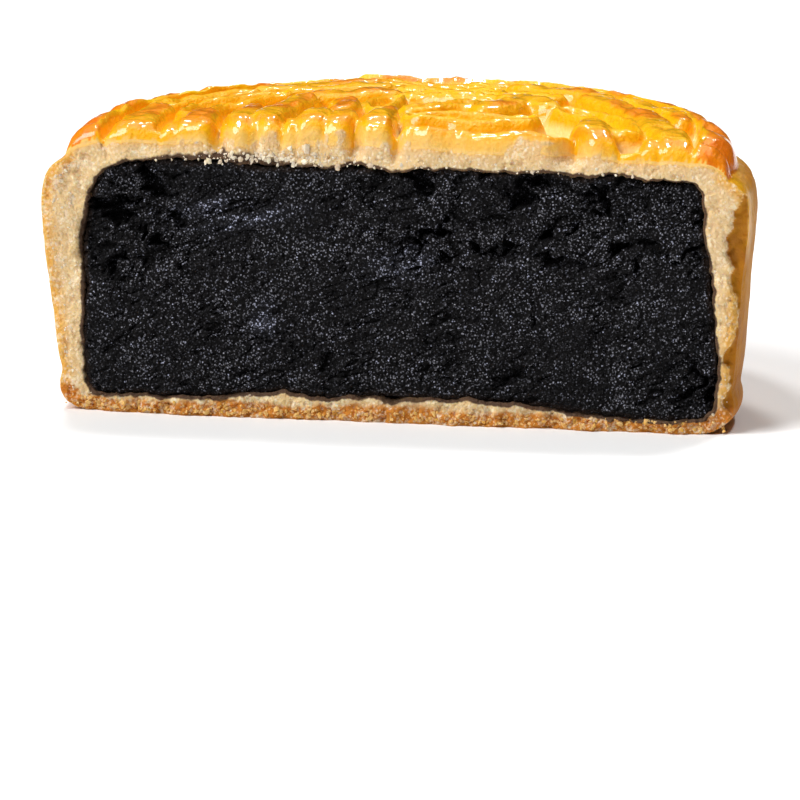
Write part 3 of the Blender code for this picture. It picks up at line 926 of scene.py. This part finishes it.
class Value:
    """A shader socket on which Python's operators add Math nodes."""

    def __init__(self, tree, socket):
        self.tree, self.socket = tree, socket

    def maths(self, operation, *others, clamp=False):
        made = self.tree.nodes.new("ShaderNodeMath")
        made.operation = operation
        made.use_clamp = clamp
        for socket, value in zip(made.inputs, (self, *others)):
            connect(self.tree, socket, value)
        return Value(self.tree, made.outputs[0])

    def __add__(self, other):
        return self.maths("ADD", other)

    def __mul__(self, other):
        return self.maths("MULTIPLY", other)

    def __sub__(self, other):
        return self.maths("SUBTRACT", other)

    def __rsub__(self, other):
        return (self * -1.0) + other

    __radd__, __rmul__ = __add__, __mul__

    def clamped(self):
        return self.maths("ADD", 0.0, clamp=True)

    def step(self, low, high):
        """0 below low, 1 above high, smooth between."""
        made = self.tree.nodes.new("ShaderNodeMapRange")
        made.interpolation_type = "SMOOTHSTEP"
        connect(self.tree, made.inputs["Value"], self)
        made.inputs["From Min"].default_value = low
        made.inputs["From Max"].default_value = high
        return Value(self.tree, made.outputs["Result"])


def connect(tree, socket, value):
    """Links a Value, or sets a constant, on a socket."""
    if isinstance(value, Value):
        tree.links.new(value.socket, socket)
    elif socket.type == "RGBA":
        socket.default_value = (*value[:3], 1.0)
    else:
        socket.default_value = value


def add_node(tree, kind, settings=None, **sockets):
    """A node of a kind: its settings first, then its sockets, whose names use _ for a space."""
    made = tree.nodes.new(kind)
    for name, value in (settings or {}).items():
        setattr(made, name, value)
    for name, value in sockets.items():
        connect(tree, made.inputs[name.replace("_", " ")], value)
    return made


class Finish:
    """A new material, with the nodes that its finishes share."""

    def __init__(self, name):
        self.material = bpy.data.materials.new(name)
        self.material.use_nodes = True
        self.tree = self.material.node_tree
        self.shader = self.tree.nodes["Principled BSDF"]
        place = self.tree.nodes.new("ShaderNodeTexCoord")
        self.place = Value(self.tree, place.outputs["Object"])

    def node(self, kind, settings=None, **sockets):
        return add_node(self.tree, kind, settings, **sockets)

    def attributes(self, *names):
        """The mesh's own values of these names."""
        made = [self.node("ShaderNodeAttribute", {"attribute_name": name}) for name in names]
        return [Value(self.tree, node.outputs["Fac"]) for node in made]

    def noise(self, scale, detail=3.0, roughness=0.55):
        """Noise on object coordinates, scale in waves a metre."""
        made = self.node("ShaderNodeTexNoise", Vector=self.place, Scale=scale, Detail=detail,
                         Roughness=roughness)
        return Value(self.tree, made.outputs["Fac"])

    def cells(self, scale):
        """Distance to the nearest scattered point, scale in cells a metre."""
        made = self.node("ShaderNodeTexVoronoi", Vector=self.place, Scale=scale)
        return Value(self.tree, made.outputs["Distance"])

    def mix(self, share, low, high):
        """A colour between low and high."""
        made = self.tree.nodes.new("ShaderNodeMix")
        made.data_type = "RGBA"
        colours = [socket for socket in made.inputs if socket.type == "RGBA"]
        connect(self.tree, made.inputs[0], share)
        connect(self.tree, colours[0], low)
        connect(self.tree, colours[1], high)
        return Value(self.tree, made.outputs[2])

    def bump(self, height, strength, distance):
        made = self.node("ShaderNodeBump", Height=height, Strength=strength, Distance=distance)
        return Value(self.tree, made.outputs["Normal"])

    def set(self, **sockets):
        for name, value in sockets.items():
            connect(self.tree, self.shader.inputs[name.replace("_", " ")], value)


def crust_material(look):
    """Glazed, browned skin that gives way to cream crumb at the cut.

    Broad, middling and small are noises about zero that make every border between colours uneven.
    """
    finish = Finish("crust")
    skin, height, brown, roll, depth = finish.attributes("skin", "height", "brown", "roll", "depth")
    smear, low, foot, bare = finish.attributes("smear", "low", "foot", "bare")
    patches, mottle, fine = finish.noise(150.0), finish.noise(700.0), finish.noise(2600.0)
    broad, middling, small = patches - 0.5, mottle - 0.5, fine - 0.5
    grain = finish.cells(2900.0)

    golden = (patches + middling * 0.6).step(0.4, 0.75) * 0.7
    floor = finish.mix(golden, look.groove, look.pale_glaze)
    top = finish.mix((height + middling * 0.3).step(0.1, 0.5), floor, look.glaze)
    faded = 1.0 - roll.step(0.45, 0.95) * 0.55
    browned = ((brown + broad * 0.7 + middling * 0.45) * faded).clamped()
    top = finish.mix(browned.step(0.1, 0.5), top, look.tan)
    top = finish.mix(browned.step(0.7, 1.25), top, look.burnt)
    front = roll + middling * 0.2 + broad * 0.3
    crest = front.step(0.15, 0.4) * (1.0 - front.step(0.5, 0.78)) * (1.0 - depth.step(0.0, 0.1))
    top = finish.mix(crest * height * 0.65, top, look.tan)
    pale = (front.step(0.76, 1.0) + depth.step(0.0, 0.2)).clamped()
    top = finish.mix(pale * 0.88, top, look.pale_glaze)
    top = finish.mix((front.step(0.94, 1.1) + depth.step(0.0, 0.5)).clamped() * 0.55, top, look.crumb)
    side = finish.mix((patches + middling * 0.5).step(0.35, 0.75), look.wall, look.wall_brown)
    side = finish.mix((foot + middling * 0.6).step(0.1, 0.8), side, look.base)
    skin_colour = finish.mix(low, top, side)

    near_skin = (1.25 - depth * 0.62 + broad * 1.3 + middling * 0.6).step(0.0, 1.0)
    near_skin = near_skin * (1.0 - bare * 0.8)
    crumb = finish.mix((patches * 0.6 + mottle * 0.4).step(0.46, 0.8), look.crumb, look.crumb_grey)
    crumb = finish.mix(near_skin * 0.85, crumb, look.crumb_gold)
    under = (2.3 - depth * 1.1 + middling * 2.2 + broad * 1.5).step(0.0, 1.0) * foot
    crumb = finish.mix(under, crumb, look.base)
    speckle = middling * 2.0 + small * 1.6
    crumb = finish.mix(speckle.step(0.1, 0.8) * 0.25, crumb, look.crumb_gold)
    pale_grain = (speckle * -1.0).step(0.05, 0.4) * 0.5 + finish.cells(1900.0).step(0.45, 0.2) * 0.35
    crumb = finish.mix(pale_grain, crumb, look.crumb_light)
    smeared = (smear * 1.2 + middling * 1.3 + broad * 1.2 + foot * 0.25).step(0.5, 1.0)
    crumb = finish.mix(smeared, crumb, look.smear)
    face = roll - bare * 1.1 + middling * 0.3 + broad * 0.4
    glazed_face = finish.mix(face.step(0.05, 0.5), crumb, look.pale_glaze)
    glazed_face = finish.mix(face.step(0.3, 0.85), glazed_face, top)
    shown = (skin - bare + middling * 0.4).step(0.1, 0.8)
    finish.set(Base_Color=finish.mix(shown, glazed_face, skin_colour))
    gloss = (shown + (roll - bare) * (1.0 - shown)).clamped()
    finish.set(Roughness=(gloss * -0.46) + 0.82 + small * 0.12 + low * gloss * 0.25)
    finish.set(Coat_Weight=(gloss * (1.0 - low) * (0.3 + height * 0.6)).clamped())
    relief = small * (0.8 + (1.0 - gloss) * 0.3) + grain * (1.0 - gloss) * 0.7
    finish.set(Normal=finish.bump(relief + middling * (gloss * 1.9 + 0.2), 0.9, 0.0002))
    finish.set(Coat_Roughness=0.06, Specular_IOR_Level=0.2, Subsurface_Weight=0.3,
               Subsurface_Radius=(0.002, 0.0012, 0.0005), Subsurface_Scale=1.0)
    return finish.material


def paste_material(look):
    """Near-black paste with fine, faintly blue glints painted into its colour on its grain, and
    painted shade in its pits.
    """
    finish = Finish("paste")
    crevice, rim, sheen = finish.attributes("crevice", "rim", "sheen")
    streak, broken = finish.attributes("streak", "broken")
    fine, patches, mottle = finish.noise(3600.0, 2.0), finish.noise(170.0), finish.noise(900.0)
    # Where the painted glints are dense: in broad patches, the painted sheen and the drag lines'
    # streaks
    spread = patches + (mottle - 0.5) * 0.7 + sheen * 0.4 + streak * 0.26 + broken * 0.08 - 0.12
    spread = spread.step(0.38, 0.64)
    net, dots = finish.noise(1500.0, 4.0, 0.7), finish.noise(3900.0, 2.0)
    seeds = finish.cells(3400.0)
    ragged = finish.noise(6500.0, 3.0).step(0.4, 0.56)
    # Painted glints: grain tops coloured bluish grey as if they caught the light
    painted_glint = (1.0 - seeds.step(0.15, 0.55)) * dots.step(0.38, 0.58) * ragged * (spread + 0.24)
    base = finish.mix((painted_glint * 0.9).clamped(), look.black, look.grain)
    # Painted highlights: the brightest glints, thickest on the painted sheen
    painted_highlight = (1.0 - seeds.step(0.08, 0.45)) * ragged * net.step(0.53, 0.62) * (spread * 0.9 + 0.15)
    painted_highlight = (painted_highlight + sheen * (painted_glint * 1.6 + 0.04)).clamped()
    base = finish.mix(painted_highlight, base, look.painted_highlight)
    base = finish.mix((rim * 0.7 + (mottle - 0.5) * 0.7).step(0.3, 0.9), base, look.edge)
    # Painted shade: pits, cracks and valleys darkened towards near black
    finish.set(Base_Color=finish.mix(crevice.step(0.1, 0.7) * 0.8, base, PAINTED_PIT_SHADE))
    finish.set(Roughness=(fine - 0.5) * 0.4 + 0.45 + crevice * 0.3)
    finish.set(Normal=finish.bump(finish.cells(2400.0) * -1.0 + fine * 0.8, 1.0, 0.0003))
    finish.set(Specular_IOR_Level=0.06)
    return finish.material


def crumb_material(look):
    """Crumbs from cream to golden by their tone."""
    finish = Finish("crumb")
    (tone,), mottle = finish.attributes("tone"), finish.noise(1400.0)
    base = finish.mix(tone.step(0.0, 0.8), look.crumb_light, look.crumb_grey)
    base = finish.mix(tone.step(0.8, 1.0), base, look.crumb_gold)
    finish.set(Base_Color=finish.mix((mottle - 0.35).clamped(), base, look.crumb_light))
    finish.set(Roughness=(mottle - 0.5) * 0.3 + 0.6)
    finish.set(Subsurface_Weight=0.25, Subsurface_Scale=1.0,
               Subsurface_Radius=(0.0009, 0.0006, 0.0003))
    return finish.material


def paste_crumb_material(look):
    """Grains of paste."""
    finish = Finish("paste_crumb")
    (tone,) = finish.attributes("tone")
    # Grains from near black to the painted glint grey, by their random tone
    finish.set(Base_Color=finish.mix(tone, look.black, look.grain))
    finish.set(Roughness=finish.noise(2000.0) * 0.3 + 0.25)
    return finish.material


def crumb_places(s, crumbs):
    """Places, sizes and tones of crumbs: at random on the cut crust where it isn't torn off, in a
    ring where it meets the paste, along the foot, and as larger chunks over the paste's top left."""
    draw = np.random.default_rng(crumbs.seed)
    count = crumbs.crust_count * 4
    x = draw.uniform(-38.6, 38.6, count)
    z = draw.uniform(0.3, 32.0, count)
    edge_x, edge_z = paste_outline_near(x, z, s, 0.0)
    core_x, core_z = paste_outline_near(x, z, s, 0.4)
    away = (x - edge_x) * (core_x - edge_x) + (z - edge_z) * (core_z - edge_z)
    wall = 37.4 + 1.3 * smoothstep(5, 22, z) - 2.4 * smoothstep(26, 29, z)
    outside = (away > 0.3) & (np.abs(x) < wall) & (z < 30.2 - (x / 28) ** 2)
    outside &= torn_off(x, z) < 0.05
    x, z = x[outside][: crumbs.crust_count], z[outside][: crumbs.crust_count]
    turn = draw.uniform(0, 2 * math.pi, crumbs.edge_count)
    ring_x, ring_z = paste_outline_near(60 * np.cos(turn), 15 + 40 * np.sin(turn), s, 0.8)
    ring_x, ring_z = settle(ring_x, ring_z)
    ring_x = ring_x + draw.normal(0, 0.2, crumbs.edge_count)
    ring_z = ring_z + draw.normal(0, 0.2, crumbs.edge_count)
    foot_x = draw.uniform(-35.5, 35.5, crumbs.foot_count)
    foot_z = 0.25 + 1.2 * draw.uniform(0, 1, crumbs.foot_count) ** 1.5
    chunk_x = draw.normal(-12.0, 4.8, crumbs.chunk_count)
    chunk_z = draw.normal(29.45, 0.5, crumbs.chunk_count)
    x = np.concatenate([x, ring_x, foot_x, chunk_x])
    z = np.concatenate([z, ring_z, foot_z, chunk_z])
    chunk = np.arange(len(x)) >= len(x) - crumbs.chunk_count
    spread = draw.power(0.5, len(x))
    sizes = crumbs.largest + (crumbs.smallest - crumbs.largest) * spread ** 0.4
    sizes = sizes * (0.6 + 0.4 * coarse_patch(x, z) + 0.1 * smoothstep(2.2, 1.2, z))
    sizes = np.where(chunk, 0.14 + 0.34 * draw.uniform(0, 1, len(x)) ** 2, sizes)
    z = np.maximum(z, 1.85 * sizes)
    y = -s.cut_offset + coarse_cut(x, z, s) + crumb_relief(x, z) + 0.35 * sizes
    places = np.stack([x, y, z], axis=1)
    return places, sizes, np.maximum(draw.uniform(0, 0.85, len(places)), smoothstep(3.0, 1.6, z))


def paste_places(s, crumbs):
    """Places, sizes and tones of grains, at random on the cut paste."""
    draw = np.random.default_rng(crumbs.seed + 1)
    x = draw.uniform(-34.5, 35.5, crumbs.paste_count)
    z = draw.uniform(3.0, 27.0, crumbs.paste_count)
    relief = paste_relief(x, z)[0]
    y = -s.cut_offset + coarse_cut(x, z, s) + relief
    sizes = draw.uniform(0.5, 1.0, crumbs.paste_count) * crumbs.smallest * 1.3
    return np.stack([x, y, z], axis=1), sizes, draw.uniform(0, 1, crumbs.paste_count) ** 2


def keep(obj, slot, *nodes):
    """Makes a piece ride on the part's body and stand for nodes, whose parts it hides. Its slot is not
    used.
    """
    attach(obj, "root")
    if nodes:
        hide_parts(*nodes)


def soft_sun(name, azimuth, elevation, width, strength):
    """A far, soft light: its side of the cut's middle, its height and its width, all in degrees."""
    lamp = bpy.data.lights.new(name, "SUN")
    lamp.energy = strength
    lamp.angle = math.radians(width)
    obj = bpy.data.objects.new(name, lamp)
    side, high = math.radians(azimuth), math.radians(elevation)
    level = math.cos(high)
    towards = Vector((level * math.sin(side), -level * math.cos(side), math.sin(high)))
    obj.rotation_euler = towards.to_track_quat("Z", "Y").to_euler()
    bpy.context.scene.collection.objects.link(obj)


def soft_surroundings(brightness):
    """A plain grey studio all round, dim at the horizon and below it, and brighter overhead."""
    world = bpy.data.worlds.new("surroundings")
    world.use_nodes = True
    tree = world.node_tree
    place = tree.nodes.new("ShaderNodeTexCoord")
    split = add_node(tree, "ShaderNodeSeparateXYZ", Vector=Value(tree, place.outputs["Generated"]))
    high = Value(tree, split.outputs["Z"]).step(0.0, 0.9)
    connect(tree, tree.nodes["Background"].inputs["Strength"], (high * 0.8 + 0.2) * brightness)
    return world


class MOONCAKE_OT_crust(bpy.types.Operator):
    """Makes the glazed crust with its moulded top and its crumbly cut"""

    bl_idname = "mooncake.crust"
    bl_label = "Glazed crust"

    def execute(self, context):
        s = in_millimetres(context.scene.mooncake_sizes)
        crust = make_crust(s, crust_material(context.scene.mooncake_crust))
        keep(crust, "crust", "crust")
        return {"FINISHED"}


class MOONCAKE_OT_filling(bpy.types.Operator):
    """Makes the block of bean paste with its rough cut"""

    bl_idname = "mooncake.filling"
    bl_label = "Bean paste"

    def execute(self, context):
        s = in_millimetres(context.scene.mooncake_sizes)
        filling = make_filling(s, paste_material(context.scene.mooncake_paste))
        keep(filling, "filling", "filling")
        return {"FINISHED"}


class MOONCAKE_OT_crumbs(bpy.types.Operator):
    """Scatters crumbs over the cut crust and grains over the cut paste"""

    bl_idname = "mooncake.crumbs"
    bl_label = "Crumbs"

    def execute(self, context):
        s = in_millimetres(context.scene.mooncake_sizes)
        crumbs = in_millimetres(context.scene.mooncake_crumbs)
        material = crumb_material(context.scene.mooncake_crust)
        made = scatter("crust_crumbs", *crumb_places(s, crumbs), material, axis_y(s), crumbs.seed + 2)
        keep(made, "crust")
        material = paste_crumb_material(context.scene.mooncake_paste)
        made = scatter("paste_grains", *paste_places(s, crumbs), material, axis_y(s), crumbs.seed + 3)
        keep(made, "filling")
        return {"FINISHED"}


class MOONCAKE_OT_stage(bpy.types.Operator):
    """Makes the pale floor, the soft lights and the camera"""

    bl_idname = "mooncake.stage"
    bl_label = "Stage"

    def execute(self, context):
        stage = context.scene.mooncake_stage
        mesh = bpy.data.meshes.new("floor")
        body = bmesh.new()
        bmesh.ops.create_grid(body, x_segments=1, y_segments=1, size=FLOOR_HALF)
        body.to_mesh(mesh)
        body.free()
        finish = Finish("floor")
        finish.set(Base_Color=tuple(stage.floor), Roughness=0.6)
        piece("floor", mesh, finish.material)

        context.scene.world = soft_surroundings(stage.backdrop)
        context.scene.view_settings.view_transform = "Standard"

        soft_sun("key", -48, 46, 34, stage.key)
        soft_sun("overhead", 160, 78, 40, stage.overhead)
        for azimuth, elevation in SPARKLES:
            soft_sun("sparkle", azimuth, elevation, 8, stage.sparkle)

        lens = bpy.data.cameras.new("camera")
        lens.lens = stage.lens
        lens.clip_start, lens.clip_end = 0.01, 20.0
        camera = bpy.data.objects.new("camera", lens)
        context.scene.collection.objects.link(camera)
        level = math.cos(stage.elevation)
        away = Vector((
            level * math.sin(stage.azimuth),
            -level * math.cos(stage.azimuth),
            math.sin(stage.elevation),
        ))
        camera.location = Vector(AIM) + away * stage.distance
        camera.rotation_euler = (-away).to_track_quat("-Z", "Y").to_euler()
        context.scene.camera = camera
        return {"FINISHED"}


class MOONCAKE_PT_panel(bpy.types.Panel):
    """Lists the pieces in the 3D view's sidebar"""

    bl_label = "Cut mooncake half"
    bl_idname = "MOONCAKE_PT_panel"
    bl_space_type = "VIEW_3D"
    bl_region_type = "UI"
    bl_category = "Mooncake"

    def draw(self, context):
        for operator in OPERATORS:
            self.layout.operator(operator.bl_idname)


GROUPS = {
    "mooncake_sizes": MooncakeSizes,
    "mooncake_crust": CrustFinish,
    "mooncake_paste": PasteFinish,
    "mooncake_crumbs": CrumbSettings,
    "mooncake_stage": StageSettings,
}
OPERATORS = (MOONCAKE_OT_crust, MOONCAKE_OT_filling, MOONCAKE_OT_crumbs, MOONCAKE_OT_stage)


def register():
    for group in GROUPS.values():
        bpy.utils.register_class(group)
    for name, group in GROUPS.items():
        setattr(bpy.types.Scene, name, PointerProperty(type=group))
    for operator in OPERATORS:
        bpy.utils.register_class(operator)
    bpy.utils.register_class(MOONCAKE_PT_panel)


def unregister():
    bpy.utils.unregister_class(MOONCAKE_PT_panel)
    for operator in reversed(OPERATORS):
        bpy.utils.unregister_class(operator)
    for name, group in GROUPS.items():
        delattr(bpy.types.Scene, name)
        bpy.utils.unregister_class(group)


def main():
    register()
    bpy.ops.mooncake.crust()
    bpy.ops.mooncake.filling()
    bpy.ops.mooncake.crumbs()
    bpy.ops.mooncake.stage()


if __name__ == "__main__":
    main()
